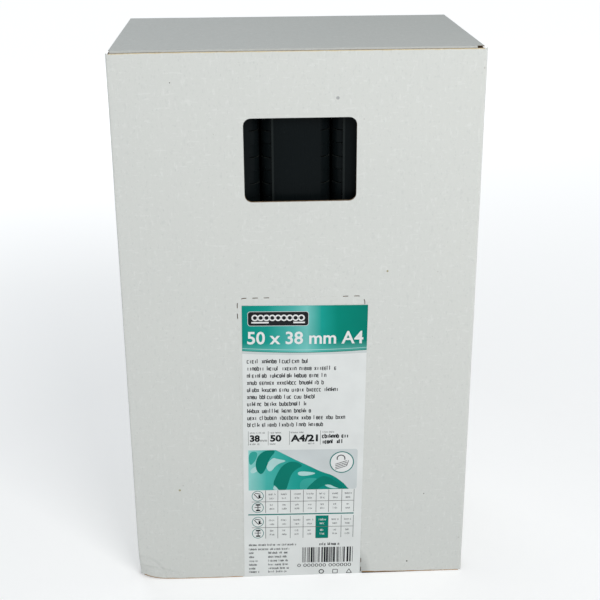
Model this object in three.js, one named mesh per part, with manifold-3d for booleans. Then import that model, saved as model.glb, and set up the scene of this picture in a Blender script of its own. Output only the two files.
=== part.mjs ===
// Straight-tuck carton of corrugated board holding interleaved pairs of oval binding combs.
// Millimetres, +X right, front face towards -Y, +Z up. The origin is at the middle of the underside.
import * as THREE from 'three';
import { mergeVertices } from 'three/addons/utils/BufferGeometryUtils.js';
import Module from 'manifold-3d';

const wasm = await Module();
wasm.setup();

// ---- carton ----
const WIDTH = 194;
const HEIGHT = 314;
const BOARD = 1.6;
const GAP = 0.3;
const LABEL_THICK = 0.25;
const FRONT = -64.825; // outer face of the front wall
const BACK = 65.125; // outer face of the back wall
const LID_INSET = 1.3; // lid and base are a little narrower than the walls
const FOLD_ROOM = 0.4; // between a tuck flap and the front wall
const TUCK_LENGTH = 20;
const TUCK_LEAN = 7; // degrees, inwards
const TUCK_INSET = 3.4;
const TUCK_CORNER = 7; // cut off the free corners of a tuck flap
const TUCK_START = BOARD + 0.6; // the flap begins below its fold
const DUST_LENGTH = 62;
const DUST_CORNER = 4; // cut off the front corner, along the flap
const DUST_STEP = 3; // first rise of the front corner, across the flap
const DUST_SHOULDER = 7; // full rise of the front corner
const DUST_SETBACK = 3; // room between a dust flap and the back wall's fold
const DUST_FRONT = -57.3;
const DUST_TAPER = 0.55;
const GLUE_LENGTH = 32;
const GLUE_ROOT = 2; // how far the glue flap's root stays from the wall's ends
const GLUE_TIP = 12; // and its free end
const LABEL_AIR = 0.05;

// ---- front wall features, as x and z on the front face ----
const WINDOW = { x0: -28.7, x1: 30.5, z0: 234.2, z1: 279, r: 4 };
const DOOR = { x0: -34.2, x1: 35.9, z1: 180, r: 4 };
const DOOR_KERF = 0.25;
const LABEL = [[-34.0, 0.5], [35.3, 0.5], [37.6, 174.3], [-31.8, 175.4]];

// ---- combs ----
const COMB_WIDTH = 37.4;
const COMB_DEPTH = 22.9;
const COMB_LENGTH = 297;
const COMB_WALL = 0.8;
const SPINE_WIDTH = 26;
const RINGS = 21;
const RING_PITCH = 14.2875;
const FINGER_WIDTH = 6.6;
const PAIR_DEPTH = 23.9;
const SHELL_WALL = 1;
const COLUMNS = 5;
const ROWS = 5;
const COLUMN_PITCH = 37.75;
const ROW_PITCH = 24.3;
const COMB_FRONT = -58.4;
const COMB_LIFT = 0.4; // above the lower dust flaps
const COMB_FLOOR = 2 * BOARD + GAP + COMB_LIFT;
const FLAT_SHARE = 0.56; // flat part of the oval's back, as a share of its half width
const ROOT_OVERLAP = 0.6; // how far a finger starts inside the spine's edge
const TIP_INSET = 2.6; // how far a finger's tip passes behind the spine
const TIP_DEPTH = 2.4; // depth of the tip, in wall thicknesses
const MITRE_LIMIT = 0.4;

const innerFront = FRONT + BOARD;
const lidFront = innerFront + FOLD_ROOM;
const layerTop = HEIGHT - BOARD - GAP; // outer side of the upper dust flaps
const wallTop = layerTop - BOARD - GAP;
const wallBottom = 2 * BOARD + 2 * GAP;
const half = WIDTH / 2;

const board = (tone) => new THREE.MeshStandardMaterial({ color: tone, roughness: 0.85, metalness: 0 });
const OYSTER = 0xcfd3d0;
const KRAFT = 0xa98a63;
const LABEL_TONE = 0xdfe6e8;
const COMB_TONE = 0x0b0b0c;

// A flat polygon of [a, b] points as a THREE.Shape.
function outline(points) {
  return new THREE.Shape(points.map(([a, b]) => new THREE.Vector2(a, b)));
}

// A rectangle with rounded corners, each corner an arc of a few segments.
function roundedRect(target, x0, x1, z0, z1, r) {
  target.moveTo(x0 + r, z0);
  target.lineTo(x1 - r, z0);
  target.absarc(x1 - r, z0 + r, r, -Math.PI / 2, 0);
  target.lineTo(x1, z1 - r);
  target.absarc(x1 - r, z1 - r, r, 0, Math.PI / 2);
  target.lineTo(x0 + r, z1);
  target.absarc(x0 + r, z1 - r, r, Math.PI / 2, Math.PI);
  target.lineTo(x0, z0 + r);
  target.absarc(x0 + r, z0 + r, r, Math.PI, 1.5 * Math.PI);
  return target;
}

// A shape drawn in x and z, given thickness from y0 towards +Y.
function standing(shape, y0, thick) {
  const geometry = new THREE.ExtrudeGeometry(shape, { depth: thick, bevelEnabled: false, curveSegments: 3 });
  return geometry.rotateX(Math.PI / 2).translate(0, y0 + thick, 0);
}

// A shape drawn in x and y, given thickness from z0 upwards.
function lying(shape, z0, thick) {
  const geometry = new THREE.ExtrudeGeometry(shape, { depth: thick, bevelEnabled: false, curveSegments: 3 });
  return geometry.translate(0, 0, z0);
}

function box(x0, x1, y0, y1, z0, z1) {
  return new THREE.BoxGeometry(x1 - x0, y1 - y0, z1 - z0)
    .translate((x0 + x1) / 2, (y0 + y1) / 2, (z0 + z1) / 2);
}

const group = new THREE.Group();
function add(name, geometry, tone) {
  const mesh = new THREE.Mesh(geometry, tone);
  mesh.name = name;
  group.add(mesh);
  return mesh;
}

// ---- walls ----
// The front wall is one sheet with the window cut out and the opening for the tear-out door.
const door = { x0: DOOR.x0 - DOOR_KERF, x1: DOOR.x1 + DOOR_KERF, z1: DOOR.z1 + DOOR_KERF };
const frontShape = new THREE.Shape();
frontShape.moveTo(-half, 0);
frontShape.lineTo(door.x0, 0);
frontShape.lineTo(door.x0, door.z1 - DOOR.r);
frontShape.absarc(door.x0 + DOOR.r, door.z1 - DOOR.r, DOOR.r, Math.PI, Math.PI / 2, true);
frontShape.lineTo(door.x1 - DOOR.r, door.z1);
frontShape.absarc(door.x1 - DOOR.r, door.z1 - DOOR.r, DOOR.r, Math.PI / 2, 0, true);
frontShape.lineTo(door.x1, 0);
frontShape.lineTo(half, 0);
frontShape.lineTo(half, HEIGHT);
frontShape.lineTo(-half, HEIGHT);
frontShape.closePath();
frontShape.holes.push(roundedRect(new THREE.Path(), WINDOW.x0, WINDOW.x1, WINDOW.z0, WINDOW.z1, WINDOW.r));
add('front_wall', standing(frontShape, FRONT, BOARD), board(OYSTER));

const doorShape = new THREE.Shape();
doorShape.moveTo(DOOR.x0, 0);
doorShape.lineTo(DOOR.x1, 0);
doorShape.lineTo(DOOR.x1, DOOR.z1 - DOOR.r);
doorShape.absarc(DOOR.x1 - DOOR.r, DOOR.z1 - DOOR.r, DOOR.r, 0, Math.PI / 2);
doorShape.lineTo(DOOR.x0 + DOOR.r, DOOR.z1);
doorShape.absarc(DOOR.x0 + DOOR.r, DOOR.z1 - DOOR.r, DOOR.r, Math.PI / 2, Math.PI);
doorShape.closePath();
add('tear_out_door', standing(doorShape, FRONT, BOARD), board(OYSTER));
add('label', standing(outline(LABEL), FRONT - LABEL_AIR - LABEL_THICK, LABEL_THICK), board(LABEL_TONE));

const sideFront = innerFront + GAP;
const sideBack = BACK - BOARD - GAP;
add('back_wall', box(-half, half, BACK - BOARD, BACK, BOARD + GAP, HEIGHT - BOARD - GAP), board(OYSTER));
add('left_wall', box(-half, -half + BOARD, sideFront, sideBack, wallBottom, wallTop), board(OYSTER));
add('right_wall', box(half - BOARD, half, sideFront, sideBack, wallBottom, wallTop), board(OYSTER));
const glueX = half - BOARD - GAP;
add('glue_flap', standing(outline([[0, wallBottom + GLUE_ROOT], [GLUE_LENGTH, wallBottom + GLUE_TIP],
  [GLUE_LENGTH, wallTop - GLUE_TIP], [0, wallTop - GLUE_ROOT]]), 0, BOARD)
  .rotateZ(-Math.PI / 2).translate(glueX - BOARD, sideBack, 0), board(KRAFT));

// ---- closures: the same four pieces at the top and, mirrored, at the base ----
// sign +1 builds the top and -1 the base; z counts inwards from the outer face of the closure.
function closure(prefix, sign) {
  const level = (depth) => (sign > 0 ? HEIGHT - depth : depth);
  const slab = (shape, depth) => lying(shape, sign > 0 ? level(depth + BOARD) : level(depth), BOARD);
  const lidHalf = half - LID_INSET;
  add(`${prefix}_panel`, slab(outline([[-lidHalf, lidFront], [lidHalf, lidFront],
    [lidHalf, BACK], [-lidHalf, BACK]]), 0), board(OYSTER));

  // The tuck flap hangs from the front fold, turned inwards about it, with its free corners cut off.
  const tuckHalf = half - BOARD - TUCK_INSET;
  const flap = standing(outline([[-tuckHalf, TUCK_START], [-tuckHalf, TUCK_LENGTH - TUCK_CORNER],
    [-tuckHalf + TUCK_CORNER, TUCK_LENGTH], [tuckHalf - TUCK_CORNER, TUCK_LENGTH],
    [tuckHalf, TUCK_LENGTH - TUCK_CORNER], [tuckHalf, TUCK_START]]), 0, BOARD);
  flap.rotateX(THREE.MathUtils.degToRad(-TUCK_LEAN)); // the outline counts away from the closure
  if (sign > 0) flap.applyMatrix4(new THREE.Matrix4().makeScale(1, 1, -1));
  flap.translate(0, lidFront, level(0));
  if (sign > 0) flipFaces(flap);
  add(`${prefix}_tuck_flap`, flap, board(OYSTER));

  // Dust flaps fold in from the side walls; their back edge is tapered to clear the rising lid.
  for (const [side, s] of [['left', -1], ['right', 1]]) {
    const points = [[0, DUST_FRONT], [DUST_LENGTH - DUST_CORNER, DUST_FRONT + DUST_STEP],
      [DUST_LENGTH, DUST_FRONT + DUST_SHOULDER],
      [DUST_LENGTH, BACK - DUST_SETBACK - DUST_TAPER * DUST_LENGTH], [0, BACK - DUST_SETBACK]]
      .map(([u, y]) => [s * (half - u), y]);
    if (s < 0) points.reverse();
    add(`${prefix}_dust_flap_${side}`, slab(outline(points), BOARD + GAP), board(OYSTER));
  }
}

// Turns every face over, for geometry that has been mirrored.
function flipFaces(geometry) {
  const merged = plain(geometry);
  const index = merged.index.array;
  for (let i = 0; i < index.length; i += 3) [index[i], index[i + 1]] = [index[i + 1], index[i]];
  geometry.copy(merged);
  geometry.computeVertexNormals();
}

// Position-only geometry with shared corners.
function plain(geometry) {
  const bare = geometry.clone();
  bare.deleteAttribute('normal');
  bare.deleteAttribute('uv');
  return mergeVertices(bare, 1e-4);
}

closure('lid', 1);
closure('base', -1);

// ---- combs ----
function toSolid(geometry) {
  const bare = plain(geometry);
  return new wasm.Manifold(new wasm.Mesh({
    numProp: 3,
    vertProperties: Float32Array.from(bare.attributes.position.array),
    triVerts: Uint32Array.from(bare.index.array),
  }));
}

function toGeometry(solid) {
  const mesh = solid.getMesh();
  const geometry = new THREE.BufferGeometry();
  geometry.setAttribute('position', new THREE.BufferAttribute(Float32Array.from(mesh.vertProperties), 3));
  geometry.setIndex(new THREE.BufferAttribute(Uint32Array.from(mesh.triVerts), 1));
  geometry.computeVertexNormals();
  return geometry;
}

// A strip of even thickness along a path, mitred at its bends.
function strip(path, thick) {
  const left = [];
  const right = [];
  path.forEach((p, i) => {
    const a = path[Math.max(i - 1, 0)];
    const b = path[Math.min(i + 1, path.length - 1)];
    const d0 = new THREE.Vector2(p[0] - a[0], p[1] - a[1]).normalize();
    const d1 = new THREE.Vector2(b[0] - p[0], b[1] - p[1]).normalize();
    const dir = i === 0 ? d1 : i === path.length - 1 ? d0 : d0.clone().add(d1).normalize();
    const reach = (thick / 2) / Math.max(MITRE_LIMIT, dir.dot(i === 0 ? d1 : d0));
    left.push([p[0] - dir.y * reach, p[1] + dir.x * reach]);
    right.push([p[0] + dir.y * reach, p[1] - dir.x * reach]);
  });
  return outline([...left, ...right.reverse()]);
}

// One comb: a flat spine at y = 0 and fingers that curl round and tuck in behind it.
const w = COMB_WIDTH / 2 - COMB_WALL / 2;
const d = COMB_DEPTH - COMB_WALL / 2;
const fingerPath = [[SPINE_WIDTH / 2 - ROOT_OVERLAP, COMB_WALL / 2], [w, d / 2], [w * FLAT_SHARE, d],
  [-w * FLAT_SHARE, d], [-w, d / 2], [-SPINE_WIDTH / 2 + TIP_INSET, COMB_WALL * TIP_DEPTH]];
const fingerShape = strip(fingerPath, COMB_WALL);
const first = (COMB_LENGTH - (RINGS - 1) * RING_PITCH) / 2;
let comb = toSolid(box(-SPINE_WIDTH / 2, SPINE_WIDTH / 2, 0, COMB_WALL, 0, COMB_LENGTH));
for (let i = 0; i < RINGS; i += 1) {
  const z0 = first + i * RING_PITCH - FINGER_WIDTH / 2;
  comb = comb.add(toSolid(lying(fingerShape, z0, FINGER_WIDTH)));
}
const combGeometry = toGeometry(comb);

// A nested pair in a back row, as one plain oval sleeve with the mass of its two combs.
// Each corner is a share of the half width and a share of the depth.
const OVAL = [[-FLAT_SHARE, 0], [FLAT_SHARE, 0], [0.9, 0.16], [1, 0.36], [1, 0.64], [0.9, 0.84],
  [FLAT_SHARE, 1], [-FLAT_SHARE, 1], [-0.9, 0.84], [-1, 0.64], [-1, 0.36], [-0.9, 0.16]];
const oval = (grow) => OVAL
  .map(([a, b]) => [a * (COMB_WIDTH / 2 - grow), grow + b * (PAIR_DEPTH - 2 * grow)]);
const sleeveShape = outline(oval(0));
sleeveShape.holes.push(new THREE.Path(oval(SHELL_WALL).map(([a, b]) => new THREE.Vector2(a, b))));

const stackMiddle = -(BOARD + GAP) / 2; // the glue flap takes room on the right
for (let row = 0; row < ROWS; row += 1) {
  for (let column = 0; column < COLUMNS; column += 1) {
    const x = stackMiddle + (column - (COLUMNS - 1) / 2) * COLUMN_PITCH;
    const y = COMB_FRONT + row * ROW_PITCH;
    const place = `${String.fromCharCode(97 + column)}${row + 1}`;
    if (row === 0) {
      const face = add(`comb_${place}_front`, combGeometry.clone(), board(COMB_TONE));
      face.position.set(x, y, COMB_FLOOR);
      const partner = add(`comb_${place}_partner`, combGeometry.clone(), board(COMB_TONE));
      partner.rotation.z = Math.PI;
      partner.position.set(x, y + PAIR_DEPTH, COMB_FLOOR + RING_PITCH / 2);
    } else {
      const height = COMB_LENGTH + RING_PITCH / 2;
      add(`comb_pair_${place}`, lying(sleeveShape, 0, height), board(COMB_TONE))
        .position.set(x, y, COMB_FLOOR);
    }
  }
}
group.traverse((o) => {
  if (o.isMesh && o.name.startsWith('comb')) Object.assign(o.material, { roughness: 0.3 });
});

export default group;
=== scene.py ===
# %% [markdown]
# # A carton of binding combs
#
# The real object is one blank of corrugated board, folded into a tuck carton, with a paper label
# and fifty plastic combs inside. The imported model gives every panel, flap and hinge its place, so
# this lesson only makes the surfaces: board with real flutes, creased folds, print and combs.

import bpy
import numpy as np
from mathutils import Matrix, Vector
from mathutils.geometry import delaunay_2d_cdt


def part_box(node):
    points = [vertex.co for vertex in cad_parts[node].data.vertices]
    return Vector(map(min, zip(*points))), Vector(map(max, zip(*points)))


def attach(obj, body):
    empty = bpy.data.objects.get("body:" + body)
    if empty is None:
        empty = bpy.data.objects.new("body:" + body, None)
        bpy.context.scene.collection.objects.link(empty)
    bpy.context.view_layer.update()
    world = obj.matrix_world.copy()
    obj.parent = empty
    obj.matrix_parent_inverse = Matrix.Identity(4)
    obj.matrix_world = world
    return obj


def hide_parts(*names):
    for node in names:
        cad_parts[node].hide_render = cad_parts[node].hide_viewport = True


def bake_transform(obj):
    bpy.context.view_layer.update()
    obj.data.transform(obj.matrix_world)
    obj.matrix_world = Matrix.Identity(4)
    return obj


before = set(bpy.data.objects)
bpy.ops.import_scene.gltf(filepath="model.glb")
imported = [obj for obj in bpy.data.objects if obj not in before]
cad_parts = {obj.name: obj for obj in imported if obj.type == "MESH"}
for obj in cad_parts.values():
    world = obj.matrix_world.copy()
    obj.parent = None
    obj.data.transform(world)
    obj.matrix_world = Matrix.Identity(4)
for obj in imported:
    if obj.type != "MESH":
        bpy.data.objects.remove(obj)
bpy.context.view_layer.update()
MM = 0.001
CARTON = "carton_and_combs"


def corners(node):
    """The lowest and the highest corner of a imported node, as arrays."""
    low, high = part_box(node)
    return np.array(low, float), np.array(high, float)


front_low, front_high = corners("front_wall")
HALF = front_high[0]
HEIGHT = front_high[2]
FRONT = front_low[1]
BOARD = front_high[1] - front_low[1]
BACK = corners("back_wall")[1][1]
LID_FRONT = corners("lid_panel")[0][1]
LID_HALF = corners("lid_panel")[1][0]
UPPER_LAYER = corners("lid_dust_flap_left")[1][2]
LOWER_LAYER = corners("base_dust_flap_left")[0][2]
width, depth, height, thick = (size / MM for size in (2 * HALF, BACK - FRONT, HEIGHT, BOARD))
print(f"carton {width:.0f} x {depth:.0f} x {height:.0f} mm, board {thick:.1f} mm")

# %% [markdown]
# ## Camera, light and floor
#
# A product stands on a pale floor under soft light. The camera is a little above the carton and
# looks down at it, so the upright edges lean together. The light comes mostly from the front,
# which leaves the lid a shade darker than the front wall.

# %% Camera
CAMERA_PLACE = (-25.9, -644.7, 403.1)
CAMERA_YAW, CAMERA_PITCH, CAMERA_ROLL = np.radians([-2.58, 21.18, -0.37])
CAMERA_LENS = 68.17

camera = bpy.data.objects.new("camera", bpy.data.cameras.new("camera"))
camera.data.lens = CAMERA_LENS
camera.data.sensor_width = 36
camera.data.clip_start = 0.01
camera.matrix_world = (Matrix.Translation(np.array(CAMERA_PLACE) * MM) @ Matrix.Rotation(CAMERA_YAW, 4, "Z")
                       @ Matrix.Rotation(np.pi / 2 - CAMERA_PITCH, 4, "X")
                       @ Matrix.Rotation(CAMERA_ROLL, 4, "Z"))
bpy.context.collection.objects.link(camera)
bpy.context.scene.camera = camera
bpy.context.scene.view_settings.view_transform = "Standard"
print(f"camera: {CAMERA_LENS} mm lens at {CAMERA_PLACE} mm")

# %% Lights


def area_light(name, place, target, size, power, colour):
    """A square soft box at place, facing target."""
    light = bpy.data.lights.new(name, "AREA")
    light.size = size
    light.energy = power
    light.color = colour
    lamp = bpy.data.objects.new(name, light)
    lamp.location = place
    lamp.rotation_euler = (Vector(target) - Vector(place)).to_track_quat("-Z", "Y").to_euler()
    bpy.context.collection.objects.link(lamp)
    return lamp


area_light("key_light", (0.38, -0.9, 0.78), (0, 0, 0.3), 0.5, 6.0, (1.0, 0.985, 0.965))
area_light("back_light", (-0.4, 1.4, 0.9), (0, 0, 0.2), 1.0, 5, (0.96, 0.98, 1.0))
world = bpy.data.worlds.new("studio")
world.use_nodes = True
world.node_tree.nodes["Background"].inputs["Color"].default_value = (0.895, 0.955, 1.0, 1)
world.node_tree.nodes["Background"].inputs["Strength"].default_value = 0.40
bpy.context.scene.world = world
print("two soft boxes under a pale sky")

# %% [markdown]
# ## Materials
#
# Board liner is paper: matt, faintly mottled, with fibres, and the flutes below show through as a
# very shallow washboard. The cut edge and the inside are brown. The combs are glossy black vinyl
# with a soft unevenness; a lighter strip on each spine's shoulder is a painted highlight, and lighter
# cut rims are painted glints. Each finish is made of noise at a few scales that the real material has.

# %% Node helpers


class Finish:
    """A material under construction: one Principled shader and the Object coordinates."""

    def __init__(self, name, roughness, colour, specular=0.5):
        self.material = bpy.data.materials.new(name)
        self.material.use_nodes = True
        self.tree = self.material.node_tree
        self.shader = self.tree.nodes["Principled BSDF"]
        for socket, value in (("Roughness", roughness), ("Base Color", (*colour, 1)),
                              ("Specular IOR Level", specular)):
            self.shader.inputs[socket].default_value = value
        self.place = self.node("ShaderNodeTexCoord", "Object")
        self.relief = None

    def node(self, kind, output, inputs=None, **settings):
        """Adds a node, sets its properties, sets or links its inputs, and returns one output."""
        node = self.tree.nodes.new(kind)
        for key, value in settings.items():
            setattr(node, key, value)
        for key, value in (inputs or {}).items():
            if isinstance(value, bpy.types.NodeSocket):
                self.tree.links.new(value, node.inputs[key])
            else:
                node.inputs[key].default_value = value
        return node.outputs[output]

    def feed(self, socket, source):
        """Links a value to an input of the shader."""
        self.tree.links.new(source, self.shader.inputs[socket])

    def noise(self, scale, detail=3.0, stretch=None):
        """Cloudy noise with about scale features per metre, stretched along each axis if asked."""
        place = self.place
        if stretch:
            place = self.node("ShaderNodeMapping", "Vector", {"Scale": stretch, "Vector": self.place})
        return self.node("ShaderNodeTexNoise", "Fac", {"Scale": scale, "Detail": detail, "Vector": place})

    def ramp(self, value, low, high, out_low=0.0, out_high=1.0, course="LINEAR"):
        """Maps low..high to out_low..out_high, held at both ends."""
        limits = {"From Min": low, "From Max": high, "To Min": out_low, "To Max": out_high}
        return self.node("ShaderNodeMapRange", "Result", {"Value": value, **limits},
                         interpolation_type=course)

    def tint(self, under, factor, colour):
        """Mixes a flat colour over a colour by a factor."""
        under = (*under, 1) if isinstance(under, tuple) else under
        return self.node("ShaderNodeMix", "Result", {"A": under, "B": (*colour, 1), "Factor": factor},
                         data_type="RGBA")

    def bump(self, height, distance, strength=1.0):
        """Adds a relief of the given height in metres on top of the earlier ones."""
        inputs = {"Distance": distance, "Strength": strength, "Height": height}
        if self.relief:
            inputs["Normal"] = self.relief
        self.relief = self.node("ShaderNodeBump", "Normal", inputs)
        self.feed("Normal", self.relief)

    def near(self, centre, radii):
        """Distance from a centre, counted in the radii of an ellipsoid: |(p - centre) / radii|."""
        shift = self.node("ShaderNodeVectorMath", "Vector",
                          {0: self.place, 1: [c * MM for c in centre]}, operation="SUBTRACT")
        share = self.node("ShaderNodeVectorMath", "Vector", {0: shift, 1: [r * MM for r in radii]},
                          operation="DIVIDE")
        return self.node("ShaderNodeVectorMath", "Value", {0: share}, operation="LENGTH")


# %% Board finishes
FLUTE_PITCH = 3.2 * MM
BRUISES = (((31.5, -64.8, 1), (10.5, 20, 19), 5.2),)  # centre, radii and depth of soft dents, in mm
CREASES = (((-97, -60, -3), (27, 40, 12), -0.35), ((-97, -60, -3), (16, 40, 19), -0.35))
CREASE_WIDTH = 0.09
WAVES_PER_SCALE = 20 / (2 * np.pi)  # bands per metre of a Wave Texture at scale 1


def liner(name, across, base, shade, light, roughness, knocked=False):
    """Liner paper whose flutes run across an axis; knocked adds the dents of the front wall."""
    paper = Finish(name, roughness, base, 0.3)
    tone = paper.tint(base, paper.ramp(paper.noise(14), 0.35, 0.68, 0.0, 0.22), shade)
    for stretch in ((1.0, 1.0, 0.3), (0.3, 1.0, 1.1), (1.0, 0.3, 0.9)):
        tone = paper.tint(tone, paper.ramp(paper.noise(620, 3, stretch), 0.61, 0.71, 0.0, 0.7), light)
    for scale, reach in ((480, 0.3), (1000, 0.5)):
        dark = paper.ramp(paper.noise(scale, 3, (1.0, 1.0, 0.6)), 0.60, 0.72, 0.0, reach)
        tone = paper.tint(tone, dark, tuple(c * 0.88 for c in shade))
    flecks = paper.ramp(paper.noise(300, 1), 0.82, 0.85, 0.0, 0.4)
    paper.feed("Base Color", paper.tint(tone, flecks, (0.20, 0.18, 0.14)))
    paper.feed("Roughness", paper.ramp(paper.noise(400), 0.3, 0.7, roughness - 0.08, roughness + 0.08))
    inputs = {"Scale": 1 / (FLUTE_PITCH * WAVES_PER_SCALE), "Distortion": 0.4, "Vector": paper.place}
    wave = paper.node("ShaderNodeTexWave", "Fac", inputs, wave_type="BANDS", bands_direction=across)
    paper.bump(wave, 0.02 * MM, 0.5)
    for centre, radii, depth in BRUISES if knocked else ():
        paper.bump(paper.ramp(paper.near(centre, radii), 0, 1, course="SMOOTHSTEP"), depth * MM)
    for centre, radii, depth in CREASES if knocked else ():
        reach = paper.near(centre, radii)
        rise = paper.ramp(reach, 1 - CREASE_WIDTH, 1)
        fall = paper.ramp(reach, 1, 1 + CREASE_WIDTH, 1.0, 0.0)
        ridge = paper.node("ShaderNodeMath", "Value", {0: rise, 1: fall}, operation="MINIMUM")
        paper.bump(ridge, depth * MM)
    paper.bump(paper.noise(60), 0.5 * MM, 0.35)
    paper.bump(paper.noise(1800), 0.03 * MM, 0.5)
    return paper.material


WHITE = (0.612, 0.624, 0.598), (0.572, 0.592, 0.574), (0.66, 0.672, 0.65), 0.72
KRAFT = (0.40, 0.27, 0.155), (0.33, 0.215, 0.12), (0.50, 0.36, 0.22), 0.85
white_x = liner("white_liner_across_x", "X", *WHITE, True)
white_y = liner("white_liner_across_y", "Y", *WHITE)
kraft_x = liner("kraft_liner_across_x", "X", *KRAFT)
kraft_y = liner("kraft_liner_across_y", "Y", *KRAFT)


def cut_board():
    """The raw brown core that a cut shows, rougher and more broken than the liner, and darker than bare kraft
    as painted shade for the flutes' openings.
    """
    edge = Finish("cut_board_edge", 0.9, (0.24, 0.155, 0.085), 0.2)
    tone = edge.tint((0.29, 0.20, 0.12), edge.ramp(edge.noise(350, 4), 0.35, 0.7), (0.13, 0.08, 0.04))
    edge.feed("Base Color", edge.tint(tone, edge.ramp(edge.noise(1200), 0.58, 0.78), (0.46, 0.37, 0.26)))
    edge.bump(edge.noise(2200), 0.12 * MM, 0.7)
    return edge.material


cut_edge = cut_board()


def vinyl(name, base, rubbed):
    """Black PVC: glossy, with an orange-peel unevenness, dust and fine rubs along its length."""
    black = Finish(name, 0.3, base, 0.04)
    black.feed("Base Color", black.tint(base, black.ramp(black.noise(900, 4), 0.62, 0.8, 0.0, 0.12), rubbed))
    black.feed("Roughness", black.ramp(black.noise(120, 5, (6.0, 6.0, 0.6)), 0.3, 0.7, 0.22, 0.42))
    black.bump(black.noise(180, 2), 0.25 * MM, 0.3)
    black.bump(black.noise(2500, 2), 0.02 * MM, 0.3)
    return black.material


black_vinyl = vinyl("black_vinyl", (0.0044, 0.0065, 0.0072), (0.03, 0.035, 0.037))
# painted highlight: lighter vinyl for the streak of sheen along each spine's rounded left shoulder
painted_sheen_vinyl = vinyl("painted_sheen_vinyl", (0.016, 0.020, 0.020), (0.03, 0.035, 0.037))
# painted glints: lighter vinyl on the cut rims of spines and fingers, so the finger roots catch small glints
painted_glint_vinyl = vinyl("painted_glint_vinyl_edge", (0.035, 0.04, 0.038), (0.09, 0.10, 0.09))
print("board, cut edge and vinyl finishes made")

# %% [markdown]
# ## Mesh tools
#
# Every piece here is thin: paper, board, plastic strip. A thin piece is two copies of one surface
# at two depths, joined round the rim. The surface is either a grid of two parameters, or a flat
# outline with holes that is filled with triangles. Depth is always counted inwards from the
# outer face, so the layers of the board stack without thinking about directions.

# %% Closed sheets


def closed_grid(top, bottom):
    """Two grids of points (rows, columns, 3) joined round the rim into one closed body of quads."""
    rows, columns = top.shape[:2]
    index = np.arange(rows * columns).reshape(rows, columns)
    a, b, c, d = index[:-1, :-1], index[1:, :-1], index[1:, 1:], index[:-1, 1:]
    face = np.stack([a, b, c, d], -1).reshape(-1, 4)
    other = face[:, ::-1] + rows * columns
    rim = np.concatenate([index[:, 0], index[-1, 1:], index[-2::-1, -1], index[0, -2:0:-1]])
    after = np.roll(rim, -1)
    side = np.stack([after, rim, rim + rows * columns, after + rows * columns], -1)
    points = np.concatenate([top.reshape(-1, 3), bottom.reshape(-1, 3)])
    return points, face, other, side


def outward(points, faces):
    """Faces turned so that the volume they enclose, summed over corner tetrahedra, is positive."""
    fans = [points[face[:, [0, i, i + 1]]] for face in faces for i in range(1, face.shape[1] - 1)]
    volume = sum(np.einsum("ij,ij->", fan[:, 0], np.cross(fan[:, 1], fan[:, 2])) for fan in fans)
    return faces if volume > 0 else [face[:, ::-1] for face in faces]


def make_piece(name, sheets, materials, sharp=40):
    """Joins closed sheets into one object. A sheet is (points, faces, materials of the faces)."""
    points, polygons, slots = [], [], []
    count = 0
    for vertices, faces, finishes in sheets:
        for face, finish in zip(outward(vertices, faces), finishes):
            polygons += (face + count).tolist()
            slots += [materials.index(finish)] * len(face)
        points.append(vertices)
        count += len(vertices)
    mesh = bpy.data.meshes.new(name)
    mesh.from_pydata(np.concatenate(points), [], polygons)
    for finish in materials:
        mesh.materials.append(finish)
    mesh.polygons.foreach_set("material_index", slots)
    mesh.shade_smooth()
    mesh.set_sharp_from_angle(angle=np.radians(sharp))
    piece = bpy.data.objects.new(name, mesh)
    bpy.context.collection.objects.link(piece)
    return piece


# %% Filled outlines


def divided(loop, step):
    """The loop with points added on each side so that none is longer than step."""
    loop = np.asarray(loop, float)
    side = np.roll(loop, -1, axis=0) - loop
    count = np.maximum(1, np.ceil(np.hypot(*side.T) / step - 1e-6)).astype(int)
    owner = np.repeat(np.arange(len(loop)), count)
    part = np.arange(count.sum()) - np.repeat(np.cumsum(count) - count, count)
    return loop[owner] + side[owner] * (part / count[owner])[:, None]


def inside(points, loops):
    """Even-odd rule: a ray to the right of an inside point crosses the loops an odd number of times."""
    crossings = np.zeros(len(points), int)
    x, y = points[:, :1], points[:, 1:]
    for loop in loops:
        a, b = loop, np.roll(loop, -1, axis=0)
        rise = np.where(b[:, 1] == a[:, 1], 1.0, b[:, 1] - a[:, 1])
        straddles = (a[:, 1] > y) != (b[:, 1] > y)
        crossings += (straddles & (x < a[:, 0] + (y - a[:, 1]) * (b[:, 0] - a[:, 0]) / rise)).sum(axis=1)
    return crossings % 2 == 1


def anticlockwise(points, triangles, least=0.0):
    """Triangles turned anticlockwise, leaving out those whose doubled area is least or less."""
    a, b, c = (points[triangles[:, i]] for i in range(3))
    area = (b - a)[:, 0] * (c - a)[:, 1] - (b - a)[:, 1] * (c - a)[:, 0]
    return np.where(area[:, None] > 0, triangles, triangles[:, ::-1])[np.abs(area) >= least]


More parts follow.
